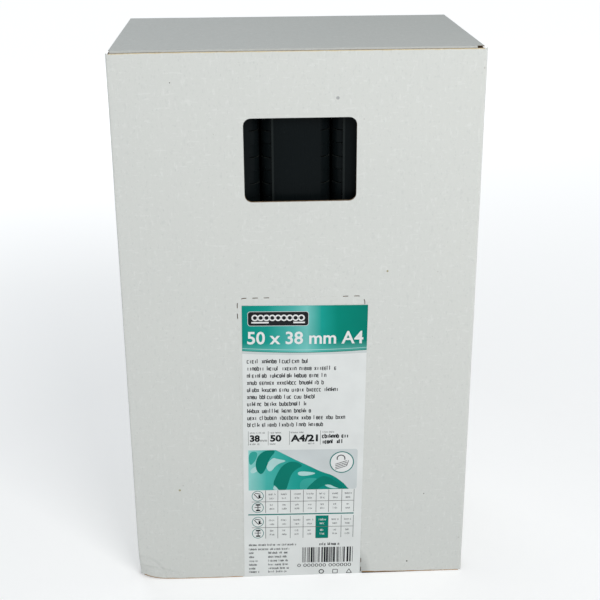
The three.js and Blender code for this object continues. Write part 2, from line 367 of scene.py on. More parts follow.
def fill(loops, step):
    """Triangles between an outline and its holes, with inner points on a square grid of the given step."""
    loops = [divided(loop, step) for loop in loops]
    rim = np.concatenate(loops)
    low, high = rim.min(axis=0), rim.max(axis=0)
    rulers = [np.arange(low[i] + step / 2, high[i], step) for i in (0, 1)]
    grid = np.stack(np.meshgrid(*rulers), -1).reshape(-1, 2)
    if len(grid):
        grid = grid[inside(grid, loops)]
    if len(grid):
        gap = np.hypot(*(grid[:, None] - rim[None]).transpose(2, 0, 1)).min(axis=1)
        grid = grid[gap > 0.45 * step]
    ends = np.cumsum([len(loop) for loop in loops])
    after = np.arange(len(rim)) + 1
    after[ends - 1] = ends - [len(loop) for loop in loops]
    links = [(int(i), int(j)) for i, j in enumerate(after)]
    everything = np.concatenate([rim, grid])
    flat = delaunay_2d_cdt([Vector(p) for p in everything], links, [], 0, 1e-8)
    points = np.array([tuple(p) for p in flat[0]])
    triangles = np.array([tuple(face) for face in flat[2]])
    triangles = triangles[inside(points[triangles].mean(axis=1), loops)]
    return points, anticlockwise(points, triangles, 1e-14)


def slab(filled, place, top, bottom):
    """A filled outline at two depths, closed round its rim: points and its top, bottom and rim faces."""
    flat, triangles = filled
    count = len(flat)
    sides = triangles[:, [0, 1, 1, 2, 2, 0]].reshape(-1, 2)
    open_side = ~np.isin(sides[:, 0] * count + sides[:, 1], sides[:, 1] * count + sides[:, 0])
    a, b = sides[open_side].T
    rim = np.stack([b, a, a + count, b + count], -1)
    points = np.concatenate([place(flat, top), place(flat, bottom)])
    return points, [triangles, triangles[:, ::-1] + count, rim]


def arc(centre, radius, start, end, steps):
    """Points on a circle from one angle to another, in degrees."""
    angle = np.radians(np.linspace(start, end, steps + 1))
    return np.array(centre) + radius * np.stack([np.cos(angle), np.sin(angle)], -1)


def rounded(x0, x1, y0, y1, radius, steps=6):
    """A rectangle with rounded corners, anticlockwise."""
    right, left, low, high = x1 - radius, x0 + radius, y0 + radius, y1 - radius
    centres = (right, low), (right, high), (left, high), (left, low)
    return np.concatenate([arc(centre, radius, 90 * quarter - 90, 90 * quarter, steps)
                           for quarter, centre in enumerate(centres)])


# %% [markdown]
# ## How the carton has settled
#
# Nothing made of board is quite flat. The front wall waves by a few tenths of a millimetre, and
# the lower left front corner has been knocked in. Both are one smooth map of space, so every
# layer and every flap that lies there bends together and nothing is pushed through anything else.

# %% The settled shape
CRUSH_DEPTH = 4.0 * MM
CRUSH_LIFT = 2.3 * MM
CRUSH_NARROW = 0.3 * MM
LIFT_REACH = 5 * MM
CRUSH_REACH = np.array([7.0, 16.0, 12.0]) * MM  # along the front, backwards, upwards
BUCKLE_SHARE, BUCKLE_SLANT, BUCKLE_LENGTH = 0.16, 0.8, 3.4 * MM  # small buckles in the knocked corner
WAVE_DEPTH = 0.35 * MM
WAVE_ACROSS, WAVE_UP = 31 * MM, 52 * MM  # lengths of the front's waves over 2 pi
WAVE_START = 1.1  # in radians
BOW = 0.6  # steady bulge outwards, as a share of the wave's depth
FRONT_SKIN = 5 * MM


def settled(points):
    """Moves points back, up and in near the knocked corner, fading, and waves the front wall."""
    x, y, z = points[..., 0], points[..., 1], points[..., 2]
    behind = np.maximum(y - FRONT, 0)
    fade = np.exp(-np.maximum(x + HALF, 0) / CRUSH_REACH[0] - behind / CRUSH_REACH[1])
    knock = fade * np.exp(-(np.maximum(z, 0) / CRUSH_REACH[2]) ** 2)
    buckle = np.sin((x + HALF + BUCKLE_SLANT * z) / BUCKLE_LENGTH)
    ridge = 1 + BUCKLE_SHARE * buckle * np.exp(-z / CRUSH_REACH[2])
    sag = np.sin(np.pi * (x + HALF) / (2 * HALF)) * np.sin(np.pi * z / HEIGHT)
    wave = sag * (np.sin(x / WAVE_ACROSS + WAVE_START) * np.cos(z / WAVE_UP) - BOW)
    skin = np.exp(-(behind / FRONT_SKIN) ** 2)
    moved = points.copy()
    moved[..., 0] = x + CRUSH_NARROW * knock
    moved[..., 1] = y + CRUSH_DEPTH * knock * ridge + WAVE_DEPTH * wave * skin
    moved[..., 2] = z + CRUSH_LIFT * knock * np.exp(-behind / LIFT_REACH)
    return moved


class Panel:
    """A flat sheet of board in space: origin on its outer face, and its right and up directions."""

    def __init__(self, origin, right_way, up_way):
        self.origin = np.array(origin, float)
        self.right_way = np.array(right_way, float)
        self.up_way = np.array(up_way, float)
        self.inward = -np.cross(self.right_way, self.up_way)

    def __call__(self, flat, depth):
        """Points of the sheet at a depth below its outer face, on the settled carton."""
        depth = np.broadcast_to(depth, flat.shape[:-1])[..., None]
        return settled(self.origin + flat[..., :1] * self.right_way + flat[..., 1:] * self.up_way
                       + depth * self.inward)


print(f"corner knocked in by {CRUSH_DEPTH / MM:.1f} mm, front waved by {WAVE_DEPTH / MM:.2f} mm")

# %% [markdown]
# ## Corrugated board
#
# The board is three papers: an outer liner, a fluted medium and an inner liner. Where an edge is
# cut the wave shows, so it is real geometry here: a sine carried straight along the flutes. The
# liners are thin slabs, with their cut rims in the brown of the core.

# %% Layers of the board
LINER = 0.28 * MM
FLUTE_PAPER = 0.16 * MM
FLUTE_STEPS = 8
FOLD = 1.8 * MM
print(f"board: liners of {LINER / MM:.2f} mm, flutes {FLUTE_PITCH / MM:.1f} mm apart")


def flutes(place, span, low, high, rows=1, across_up=False):
    """The medium: depth = middle + amplitude * sin(2 pi a / pitch) for a across the flutes, carried
    from low(a) to high(a) along them, and given its thickness square to the slope."""
    count = max(2, int(np.ceil((span[1] - span[0]) / FLUTE_PITCH * FLUTE_STEPS)))
    a, s = np.meshgrid(np.linspace(*span, count + 1), np.linspace(0, 1, rows + 1), indexing="ij")
    b = low(a) + (high(a) - low(a)) * s
    amplitude = BOARD / 2 - LINER - FLUTE_PAPER / 2
    phase = 2 * np.pi * a / FLUTE_PITCH
    slope = amplitude * 2 * np.pi / FLUTE_PITCH * np.cos(phase)
    thick = FLUTE_PAPER / 2 * np.sqrt(1 + slope**2)
    depth = BOARD / 2 + amplitude * np.sin(phase)
    flat = np.stack([b, a] if across_up else [a, b], -1)
    points, top, bottom, side = closed_grid(place(flat, depth - thick), place(flat, depth + thick))
    return points, [top, bottom, side], [cut_edge] * 3


def stands_for(piece, body, slot, *nodes):
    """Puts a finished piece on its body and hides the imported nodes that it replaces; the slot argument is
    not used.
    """
    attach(piece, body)
    if nodes:
        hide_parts(*nodes)
    print(f"{piece.name}: {len(piece.data.polygons)} faces on {body}")


def board(node, body, place, loops, medium, step, outside, inside_paper):
    """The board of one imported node: two filled liners and the fluted stretches between them."""
    filled = fill(loops, step)
    liners = [(*slab(filled, place, top, top + LINER), [paper, inside_paper, cut_edge])
              for top, paper in ((0, outside), (BOARD - LINER, inside_paper))]
    piece = make_piece(f"{node}_board", liners + medium, [outside, inside_paper, cut_edge])
    stands_for(piece, body, "white_lined_board", node)


def rectangle(x0, x1, y0, y1):
    """The four corners of a rectangle, anticlockwise."""
    return [(x0, y0), (x1, y0), (x1, y1), (x0, y1)]


def constant(value):
    """A line that stays at one height."""
    return lambda a: np.full_like(a, value)


def plain_board(node, body, place, span, heights, outside, inside_paper, rows=1, step=8 * MM):
    """A rectangular panel with upright flutes."""
    medium = [flutes(place, span, constant(heights[0]), constant(heights[1]), rows)]
    board(node, body, place, [rectangle(*span, *heights)], medium, step, outside, inside_paper)


# %% [markdown]
# ## Front wall and tear-out door
#
# The front wall is one sheet with a rounded window and a tear-out door. The door hangs in the wall
# by uncut bridges between short knife cuts. Wall and door share one line; on every cut each edge
# steps back by half the knife's width, and on the bridges they touch.

# %% Door line and window
WINDOW = np.array([-28.7, 30.5, 234.2, 279.0]) * MM
WINDOW_RADIUS = 4 * MM
DOOR_LEFT, DOOR_RIGHT, DOOR_TOP, DOOR_RADIUS = -34.2 * MM, 35.9 * MM, 180 * MM, 4 * MM
CUT_PITCH = 6.2 * MM
CUT_LENGTH = 3.1 * MM
CUT_WIDTH = 0.45 * MM
CUT_SLOPE = 0.15 * MM
FIRST_CUT = 0.6 * MM
CLOSED_CUT = 0.05  # share of the knife's width that a cut still shows where it has closed again
OPEN_CUTS = np.array([(164, 199), (230, 268), (415, 440)]) * MM  # stretches of the line that gape


def door_line(shift):
    """The door's outline by distance s along it: up the left side, round the top and down the right,
    pushed out of the door by shift times a trapezoid wave that is 1 on a cut and 0 on a bridge."""
    upright = DOOR_TOP - DOOR_RADIUS
    bend = DOOR_RADIUS * np.pi / 2
    flat_top = DOOR_RIGHT - DOOR_LEFT - 2 * DOOR_RADIUS
    stops = np.cumsum([0, upright, bend, flat_top, bend, upright])
    starts = np.arange(FIRST_CUT, stops[-1] - CUT_LENGTH, CUT_PITCH)
    knots = (starts[:, None] + [0, CUT_SLOPE, CUT_LENGTH - CUT_SLOPE, CUT_LENGTH]).ravel()
    gaping = ((starts[:, None] > OPEN_CUTS[:, 0]) & (starts[:, None] < OPEN_CUTS[:, 1])).any(axis=1)
    heights = (np.where(gaping, 1.0, CLOSED_CUT)[:, None] * [0.0, 1.0, 1.0, 0.0]).ravel()
    bends = np.concatenate([np.linspace(stops[1], stops[2], 9), np.linspace(stops[3], stops[4], 9)])
    s = np.unique(np.concatenate([stops[[0, -1]], knots, bends]))
    push = np.interp(s, knots, heights) * shift
    turn_left = np.clip((s - stops[1]) / DOOR_RADIUS, 0, np.pi / 2)
    turn_right = np.clip((s - stops[3]) / DOOR_RADIUS, 0, np.pi / 2)
    angle = np.pi - turn_left - turn_right
    out = np.stack([np.cos(angle), np.sin(angle)], -1)
    x = np.interp(s, stops[[0, 1, 2, 3]], [DOOR_LEFT, DOOR_LEFT, DOOR_LEFT, DOOR_LEFT + flat_top])
    centre = np.stack([x + DOOR_RADIUS, np.interp(s, stops[[0, 1, 4, 5]], [0, upright, upright, 0])], -1)
    return centre + out * (DOOR_RADIUS + push)[:, None]


def corner_drop(a, low, high, radius):
    """How far a rounded rectangle's edge at a lies below its flat edge."""
    into = np.clip(np.maximum(low + radius - a, a - high + radius), 0, radius)
    return radius - np.sqrt(radius**2 - into**2)


def door_top(a):
    return DOOR_TOP - corner_drop(a, DOOR_LEFT, DOOR_RIGHT, DOOR_RADIUS)


def window_low(a):
    return WINDOW[2] + corner_drop(a, WINDOW[0], WINDOW[1], WINDOW_RADIUS)


def window_high(a):
    return WINDOW[3] - corner_drop(a, WINDOW[0], WINDOW[1], WINDOW_RADIUS)


# %% Front wall
front_panel = Panel((0, FRONT, 0), (1, 0, 0), (0, 0, 1))
EDGE = HALF - FOLD
WALL_DROP = 0.8 * MM  # how far the front wall's cut edge stays below the lid
CORNER_SAG = 0.5 * MM


def top_line(a):
    """The cut upper edge, which sags towards the left corner."""
    return HEIGHT - WALL_DROP - CORNER_SAG * np.exp(-(a + HALF) / (14 * MM))


top_places = np.linspace(EDGE, -EDGE, 50)
wall_outline = np.concatenate([[(-EDGE, 0)], door_line(CUT_WIDTH / 2), [(EDGE, 0)],
                               np.stack([top_places, top_line(top_places)], -1)])
window_outline = rounded(*WINDOW, WINDOW_RADIUS, 8)
bottom_line = constant(0.0)
wall_flutes = [flutes(front_panel, *stretch) for stretch in (
    ((-EDGE, DOOR_LEFT), bottom_line, top_line, 110),
    ((DOOR_LEFT, WINDOW[0]), door_top, top_line, 16),
    ((WINDOW[0], WINDOW[1]), door_top, window_low, 8),
    ((WINDOW[0], WINDOW[1]), window_high, top_line, 6),
    ((WINDOW[1], DOOR_RIGHT), door_top, top_line, 16),
    ((DOOR_RIGHT, EDGE), bottom_line, top_line, 24))]
board("front_wall", CARTON, front_panel, [wall_outline, window_outline], wall_flutes, FLUTE_PITCH,
      white_x, kraft_x)

# %% Tear-out door
door_flutes = [flutes(front_panel, (DOOR_LEFT, DOOR_RIGHT), bottom_line, door_top, 20)]
board("tear_out_door", CARTON, front_panel, [door_line(-CUT_WIDTH / 2)], door_flutes, 4 * MM,
      white_x, kraft_x)

# %% Raw edges, painted shadow under the wall, and specks
EDGE_SHOW = 0.42 * MM
# height and spread of the painted shadow strip under the wall, beside the door and at the knocked corner
LIFTED = 1.1 * MM  # greatest height of the shaded gap under the wall, beside the door
LIFT_FADE = 27 * MM
CORNER_FADE = 9 * MM
CORNER_SHARE = 0.45
a = np.linspace(-EDGE, EDGE, 160)
tear = 0.12 * MM * np.sin(a / (1.7 * MM)) * np.sin(a / (9.3 * MM))
gap_shape = np.exp(-np.maximum(a - DOOR_RIGHT, 0) / LIFT_FADE) * (a > 0)
gap_shape += CORNER_SHARE * np.exp(-(a + HALF) / CORNER_FADE)
gap = np.maximum(LIFTED * gap_shape - 0.12 * MM, 0.02 * MM)
edge_cream = liner("frayed_edge_cream", "X", (0.66, 0.58, 0.40), (0.46, 0.37, 0.23), (0.74, 0.69, 0.55), 0.85)
edge_brown = liner("frayed_edge_brown", "X", (0.42, 0.25, 0.11), (0.24, 0.13, 0.06), (0.55, 0.38, 0.2), 0.85)
# painted shadow: a near-black strip under the wall's bottom edge, standing for the shade in the gap beneath
# it
painted_gap_shadow = liner("painted_gap_shadow_strip", "X", (0.05, 0.04, 0.03), (0.03, 0.025, 0.02), (0.1, 0.08, 0.06), 0.9)
beside_door = a < DOOR_LEFT, a > DOOR_RIGHT
# The lowest strip, from the floor up to the brown edge beside the door and at the knocked corner, is painted
# shadow.
raw_sheets = []
for low, high, finish, parts in ((top_line(a) - EDGE_SHOW + tear, top_line(a), edge_cream, [slice(None)]),
                                 (gap, gap + EDGE_SHOW + tear, edge_brown, beside_door),
                                 (0 * a, gap, painted_gap_shadow, beside_door)):
    for part in parts:
        flat = np.stack([np.stack([a[part]] * 2), np.stack([low[part], high[part]])], -1)
        points, *faces = closed_grid(front_panel(flat, -0.02 * MM), front_panel(flat, 0.1 * MM))
        raw_sheets.append((points, faces, [finish] * 3))
frayed = make_piece("front_wall_frayed_edges_and_painted_shadow", raw_sheets, [edge_cream, edge_brown, painted_gap_shadow])
stands_for(frayed, CARTON, "white_lined_board")

speck_dark = liner("speck_dark", "X", (0.06, 0.06, 0.05), (0.04, 0.04, 0.04), (0.10, 0.09, 0.08), 0.9)
speck_grey = liner("speck_grey", "X", (0.36, 0.37, 0.37), (0.30, 0.31, 0.31), (0.45, 0.46, 0.46), 0.9)
speck_straw = liner("speck_straw", "X", (0.34, 0.32, 0.19), (0.28, 0.26, 0.16), (0.40, 0.38, 0.28), 0.9)
SPECKS = ((-65.3, 298.0, 0.30, speck_dark), (20.4, 289.0, 0.9, speck_grey), (63.8, 7.5, 0.48, speck_dark),
          (72.6, 54.0, 0.32, speck_dark), (-70.6, 61.0, 0.7, speck_straw), (48.0, 194.0, 0.6, speck_straw))
speck_sheets = []
for x, z, radius, finish in SPECKS:
    dot = arc((x * MM, z * MM), radius * MM, 0, 360, 10)[:-1]
    points, faces = slab(fill([dot], 4 * MM), front_panel, -0.015 * MM, 0.05 * MM)
    speck_sheets.append((points, faces, [finish] * 3))
specks = make_piece("front_wall_specks", speck_sheets, [speck_dark, speck_grey, speck_straw])
stands_for(specks, CARTON, "white_lined_board")

# %% [markdown]
# ## Back and side walls
#
# The other walls are plain rectangles that stop short of their folds, because the folds are
# made afterwards as strips of their own.

# %% Back, left, right and the glue flap
SIDE_HEIGHTS = (LOWER_LAYER + FOLD, UPPER_LAYER - FOLD)
GLUE_CUT = 10 * MM  # how much each end of the glue flap is cut back at its free edge
back_panel = Panel((0, BACK, 0), (-1, 0, 0), (0, 0, 1))
left_panel = Panel((-HALF, 0, 0), (0, -1, 0), (0, 0, 1))
right_panel = Panel((HALF, 0, 0), (0, 1, 0), (0, 0, 1))
plain_board("back_wall", CARTON, back_panel, (-EDGE, EDGE), (FOLD, HEIGHT - FOLD), white_x, kraft_x)
plain_board("left_wall", CARTON, left_panel, (-BACK + FOLD, -FRONT - FOLD), SIDE_HEIGHTS, white_y, kraft_y,
            rows=40, step=4 * MM)
plain_board("right_wall", CARTON, right_panel, (FRONT + FOLD, BACK - FOLD), SIDE_HEIGHTS, white_y, kraft_y)
glue_low, glue_high = corners("glue_flap")
glue_panel = Panel((glue_high[0], 0, 0), (0, 1, 0), (0, 0, 1))


def glue_cut(a):
    """How far the glue flap's ends are cut back at the place a."""
    return (glue_high[1] - a) * GLUE_CUT / (glue_high[1] - glue_low[1])


def glue_foot(a):
    return glue_low[2] + glue_cut(a)


def glue_head(a):
    return glue_high[2] - glue_cut(a)


glue_ends = np.array([glue_low[1], glue_high[1]])
glue_loop = np.stack([np.append(glue_ends, glue_ends[::-1]),
                      np.append(glue_foot(glue_ends), glue_head(glue_ends)[::-1])], -1)
glue_flutes = flutes(glue_panel, glue_ends, glue_foot, glue_head)
board("glue_flap", CARTON, glue_panel, [glue_loop], [glue_flutes], 8 * MM, kraft_y, kraft_y)

# %% [markdown]
# ## Lid, base and flaps
#
# The lid and the base are the same four pieces, one set upside down: a panel hinged on the back
# wall, a tuck flap slipped behind the front wall, and two dust flaps from the side walls. Flutes
# run from back to front in the panels and from side to side in the dust flaps.

# %% Closures
TUCK_LEAN = np.radians(7)
TUCK_LENGTH = 20 * MM
TUCK_CORNER = 7 * MM
TUCK_HALF = corners("lid_tuck_flap")[1][0]
DUST_LENGTH = 62 * MM
DUST_FRONT = corners("lid_dust_flap_left")[0][1]
DUST_BACK = corners("lid_dust_flap_left")[1][1]
DUST_TAPER = 0.55
DUST_SHOULDER = 7 * MM
DUST_SLOPE = 0.6
FLAP_START = FOLD + 0.6 * MM
lean_in = np.array([0, np.sin(TUCK_LEAN), np.cos(TUCK_LEAN)])


def dust_reach(a):
    """The free length of a dust flap at the place a, cut back at its front and tapered at its back."""
    front_cut = DUST_LENGTH - np.clip((DUST_FRONT + DUST_SHOULDER - a) * DUST_SLOPE, 0, None)
    return np.minimum(front_cut, (DUST_BACK - a) / DUST_TAPER)


def closure(kind, outer_level, dust_level, sign):
    """The panel, tuck flap and dust flaps of the lid (sign 1) or of the base (sign -1)."""
    panel = Panel((0, 0, outer_level), (1, 0, 0), (0, sign, 0))
    ends = sorted([sign * (LID_FRONT + FOLD), sign * (BACK - FOLD)])
    plain_board(f"{kind}_panel", kind, panel, (-LID_HALF, LID_HALF), ends, white_x, kraft_x,
                1 if sign > 0 else 40, 6 * MM)

    down = lean_in * (1, 1, -sign)
    tuck = Panel((0, LID_FRONT, outer_level), (1, 0, 0), -down * sign)
    near, far = sorted([-sign * FLAP_START, -sign * TUCK_LENGTH], key=abs)
    cut = far + sign * TUCK_CORNER
    flap_loop = np.array([(-TUCK_HALF, near), (-TUCK_HALF, cut), (-TUCK_HALF + TUCK_CORNER, far),
                          (TUCK_HALF - TUCK_CORNER, far), (TUCK_HALF, cut), (TUCK_HALF, near)])

    def tuck_end(a):
        return far + sign * np.clip(np.abs(a) - TUCK_HALF + TUCK_CORNER, 0, None)

    board(f"{kind}_tuck_flap", f"{kind}_tuck", tuck, [flap_loop],
          [flutes(tuck, (-TUCK_HALF, TUCK_HALF), constant(near), tuck_end, 6)], 4 * MM, white_x, kraft_x)

    for side, way in (("left", 1), ("right", -1)):
        dust = Panel((-way * HALF, 0, dust_level), (way, 0, 0), (0, way * sign, 0))
        kinks = [DUST_FRONT + DUST_SHOULDER, DUST_BACK - DUST_TAPER * DUST_LENGTH]
        places = np.unique(np.append(np.linspace(DUST_FRONT, DUST_BACK - FOLD * 2 * DUST_TAPER, 14), kinks))
        line = np.stack([dust_reach(places), places], -1)
        dust_loop = np.concatenate([[(FOLD, places[-1]), (FOLD, places[0])], line]) * (1, way * sign)
        medium = flutes(dust, tuple(sorted(places[[0, -1]] * way * sign)), constant(FOLD),
                        lambda a, k=way * sign: dust_reach(a * k), 6, across_up=True)
        board(f"{kind}_dust_flap_{side}", f"{kind}_dust_{side}", dust, [dust_loop], [medium], 5 * MM,
              white_y, kraft_y)


closure("lid", HEIGHT, UPPER_LAYER, 1)
closure("base", 0.0, LOWER_LAYER, -1)

# %% [markdown]
# ## Folds
#
# At a fold the board is pressed flat on the inside and the outer liner runs round the outside. Both
# liners cross every hinge as one sheet, so each is a strip of its own between two panels.

# %% Creased strips
FOLD_STEPS = 8
FOLD_PULL = 2.2  # how strongly the corner draws the curve to itself
SOFT_PULL = 0.75
UNEVEN = 0.08 * MM  # how much a crease wanders in and out


def curve(start, corner, end, pull):
    """A weighted quadratic curve: ((1-t)^2 start + 2t(1-t) w corner + t^2 end) over the weights' sum."""
    t = np.linspace(0, 1, FOLD_STEPS + 1)[:, None]
    weights = (1 - t) ** 2, 2 * t * (1 - t) * pull, t**2
    return (weights[0] * start + weights[1] * corner + weights[2] * end) / sum(weights)


def unit(vector):
    return vector / np.linalg.norm(vector)


def crease(name, start, corner, end, along, span, bodies, rows=24, pull=FOLD_PULL):
    """The outer and the inner liner round one fold. start and end are the panels' outer edges."""
    start, corner, end, along = (np.array(p, float) for p in (start, corner, end, along))
    to_start, to_end = unit(start - corner), unit(end - corner)
    in_start = unit(to_end - to_end @ to_start * to_start)
    in_end = unit(to_start - to_start @ to_end * to_end)
    steps = np.linspace(*span, rows + 1)
    uneven = UNEVEN * np.sin(steps / (7 * MM)) * np.sin(steps / (23 * MM) + 1)
    bulge = np.sin(np.linspace(0, np.pi, FOLD_STEPS + 1))[:, None, None] * uneven[None, :, None]

    def sheet_at(depth):
        """The fold's curve at a depth below the outer face, carried along the fold."""
        inner_corner = corner + (in_start + in_end) * depth
        line = curve(start + in_start * depth, inner_corner, end + in_end * depth, pull)
        surface = line[:, None] + steps[None, :, None] * along + bulge * unit(in_start + in_end)
        return settled(surface)

    for layer, top, paper in (("outer", 0, white_x), ("inner", BOARD - LINER, kraft_x)):
        points, *faces = closed_grid(sheet_at(top), sheet_at(top + LINER))
        strip = make_piece(f"{name}_{layer}_liner", [(points, faces, [paper, kraft_x, cut_edge])],
                           [white_x, kraft_x, cut_edge], 60)
        if len(bodies) == 2:
            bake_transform(strip)
        else:
            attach(strip, bodies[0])
    print(f"{name}: two liners between {' and '.join(bodies)}")


X, Y, Z = np.eye(3)
SHOULDER = HALF - BOARD - 0.3 * MM  # the tuck fold runs on to the lid's end at the left
CORNER_NICK = 0.9 * MM
for kind, level, dust_level, sign in (("lid", HEIGHT, UPPER_LAYER, 1), ("base", 0.0, LOWER_LAYER, -1)):
    crease(f"{kind}_back_fold", (0, BACK, level - sign * FOLD), (0, BACK, level), (0, BACK - FOLD, level), X,
           (-LID_HALF, LID_HALF), (CARTON, kind), 40)
    tip = lean_in * (1, 1, -sign) * FLAP_START + (0, LID_FRONT, level)
    crease(f"{kind}_front_fold", (0, LID_FRONT + FOLD, level), (0, LID_FRONT, level), tip, X,
           (-SHOULDER, TUCK_HALF), (kind, f"{kind}_tuck"), 60, SOFT_PULL)
    for side, edge, inner in (("left", -HALF, -EDGE), ("right", HALF, EDGE)):
        crease(f"{kind}_dust_fold_{side}", (edge, 0, dust_level - sign * FOLD), (edge, 0, dust_level),
               (inner, 0, dust_level), Y, (DUST_FRONT, DUST_BACK - 2 * FOLD), (CARTON, f"{kind}_dust_{side}"))
for side, edge, inner in (("left", -HALF, -EDGE), ("right", HALF, EDGE)):
    crease(f"front_{side}_corner", (inner, FRONT, 0), (edge, FRONT, 0), (edge, FRONT + FOLD, 0), Z,
           (0.2 * MM, top_line(inner)), (CARTON,), 90)
    crease(f"back_{side}_corner", (inner, BACK, 0), (edge, BACK, 0), (edge, BACK - FOLD, 0), Z,
           (FOLD, UPPER_LAYER - CORNER_NICK), (CARTON,), 30)

# %% [markdown]
# ## Combs
#
# A binding comb is stamped from vinyl strip: a long spine with twenty-one fingers that are curled
# hot into an oval, so that their tips tuck in behind the spine. The oval is a superellipse. Two
# combs nest, back to back and half a pitch apart. Each finger is one small closed strip of a few
# dozen faces, because there are more than a thousand of them.

# %% Comb shape
COMB_HALF = 18.55 * MM
COMB_DEPTH = 22.9 * MM
COMB_LENGTH = 297 * MM
COMB_WALL = 0.8 * MM
SPINE_HALF = 13 * MM
RINGS = 21
RING_PITCH = 14.2875 * MM
FINGER_ROOT, FINGER_TIP = 7.0 * MM, 6.2 * MM
OVAL_POWER = 3.2
# width of the painted highlight strip on each spine's left shoulder
SHEEN_STRIP_WIDTH = 1.1 * MM
PAIR_DEPTH = 23.9 * MM
FINGER_TURN = -64, 262  # degrees, from the spine's edge to the finger's tip
TUCK_FROM, TUCK_OVER = 205, 40  # where the tip starts to tuck in, and over how many degrees
TUCK_SHARE = 0.105


def oval(x_share):
    """Height of the oval's front above its foremost line for x as a share of its half width:
    b (1 - (1 - |x|^n)^(1/n)), the lower half of a superellipse."""
    return COMB_DEPTH / 2 * (1 - (1 - np.abs(x_share) ** OVAL_POWER) ** (1 / OVAL_POWER))


def finger_path(stations):
    """Centre line from the spine's right edge round the back to a tip behind the spine, and its
    direction. The angle runs most of a turn; the radius shrinks near the tip."""
    a, b = COMB_HALF - COMB_WALL / 2, COMB_DEPTH / 2 - COMB_WALL / 2
    turn = np.linspace(*FINGER_TURN, stations)
    angle = np.radians(turn)
    wrap = np.clip((turn - TUCK_FROM) / TUCK_OVER, 0, 1)
    shrink = 1 - TUCK_SHARE * wrap**2 * (3 - 2 * wrap)
    power = 2 / OVAL_POWER
    x = a * np.sign(np.cos(angle)) * np.abs(np.cos(angle)) ** power * shrink
    y = b * np.sign(np.sin(angle)) * np.abs(np.sin(angle)) ** power * shrink + COMB_DEPTH / 2
    return np.stack([x, y], -1)


def finger(stations=15):
    """One finger about z = 0: the strip's section carried along the path, narrowing to a round tip."""
    line = finger_path(stations)
    way = np.gradient(line, axis=0)
    way /= np.hypot(*way.T)[:, None]
    normal = np.stack([way[:, 1], -way[:, 0]], -1) * COMB_WALL / 2
    width = FINGER_ROOT + (FINGER_TIP - FINGER_ROOT) * np.linspace(0, 1, stations) ** 2
    width[[0, -1]] *= 1.015, 0.55
    edges = np.stack([-width, width], -1)[..., None] / 2
    sides = [np.concatenate([np.stack([line + face * normal] * 2, axis=1), edges], -1) for face in (1, -1)]
    return closed_grid(*sides)


def spine_strip(x0, x1, columns, z_shares, outer, inner):
    """A strip of the oval's front between two places, from a depth outer to a depth inner."""
    x, z = np.meshgrid(np.linspace(x0, x1, columns + 1), z_shares * COMB_LENGTH, indexing="ij")
    y = oval(x / COMB_HALF)
    return closed_grid(np.stack([x, y + outer, z], -1), np.stack([x, y + inner, z], -1))


def comb():
    """Sheets of one comb with their finishes: the spine, the fingers at the ring pitch, and a lighter
    strip along the spine's left shoulder, a hair proud of it, as a painted highlight of the shoulder's sheen."""
    first = (COMB_LENGTH - (RINGS - 1) * RING_PITCH) / 2
    one, *faces = finger()
    strips = [spine_strip(-SPINE_HALF, SPINE_HALF, 14, np.array([0, 1]), 0, COMB_WALL)]
    strips += [(one + (0, 0, first + i * RING_PITCH), *faces) for i in range(RINGS)]
    sheen_strip, *sheen_strip_faces = spine_strip(-SPINE_HALF, -SPINE_HALF + SHEEN_STRIP_WIDTH, 2, np.linspace(0.03, 0.97, 7),
                                      -0.03 * MM, 0.1 * MM)
    # spine and finger rims take the painted glint vinyl; the shoulder strip is the painted highlight
    return ([(points, faces, [black_vinyl, black_vinyl, painted_glint_vinyl]) for points, *faces in strips]
            + [(sheen_strip, sheen_strip_faces, [painted_sheen_vinyl] * 3)])


comb_sheets = comb()
print(f"one comb: {sum(len(f) for sheet in comb_sheets for f in sheet[1])} faces")

# %% Nested pairs


def comb_piece(name, node, *origins):
    """Combs as one piece, each moved to its origin after a turn that is 1 or -1 along each axis."""
    sheets = [(points * turn + origin, faces, finishes) for origin, turn in origins
              for points, faces, finishes in comb_sheets]
    piece = make_piece(name, sheets, [black_vinyl, painted_glint_vinyl, painted_sheen_vinyl], 50)
    stands_for(piece, CARTON, "comb_plastic", node)


for column in "abcde":
    for row in range(1, 6):
        node = f"comb_{column}{row}_front" if row == 1 else f"comb_pair_{column}{row}"
        low, high = corners(node)
        origin = np.array([(low[0] + high[0]) / 2, low[1], low[2]])
        front = origin, (1, 1, 1)
        partner = origin + (0, PAIR_DEPTH, RING_PITCH / 2), (-1, -1, 1)
        if row == 1:
            comb_piece(f"{node}_vinyl", node, front)
            comb_piece(f"comb_{column}1_partner_vinyl", f"comb_{column}1_partner", partner)
        else:
            comb_piece(f"{node}_vinyl", node, front, partner)

# %% [markdown]
# ## Label
#
# The label is smooth printed paper stuck over the door, a little askew. Print has hardly any
# thickness, but it is made as thin closed shapes over the paper, so that it stays sharp at any
# size. Words are only suggested by strokes; the few figures left are plain sizes.

# %% Label paper
LABEL_WIDTH, LABEL_HEIGHT = 69.5 * MM, 175.3 * MM
LABEL_FOOT = np.array([-34.3, 0.4]) * MM
LABEL_TILT = np.radians(0.82)
PAPER_BACK, PAPER_FACE = -0.03 * MM, -0.17 * MM
INK_STEP = 0.012 * MM


def label_place(flat, depth):
    """Label coordinates, from its lower left corner, turned by the tilt onto the front wall."""
    u, v = flat[..., 0], flat[..., 1]
    x = u * np.cos(LABEL_TILT) + v * np.sin(LABEL_TILT) + LABEL_FOOT[0]
    z = v * np.cos(LABEL_TILT) - u * np.sin(LABEL_TILT) + LABEL_FOOT[1]
    return front_panel(np.stack([x, np.maximum(z, 0.05 * MM)], -1), depth)


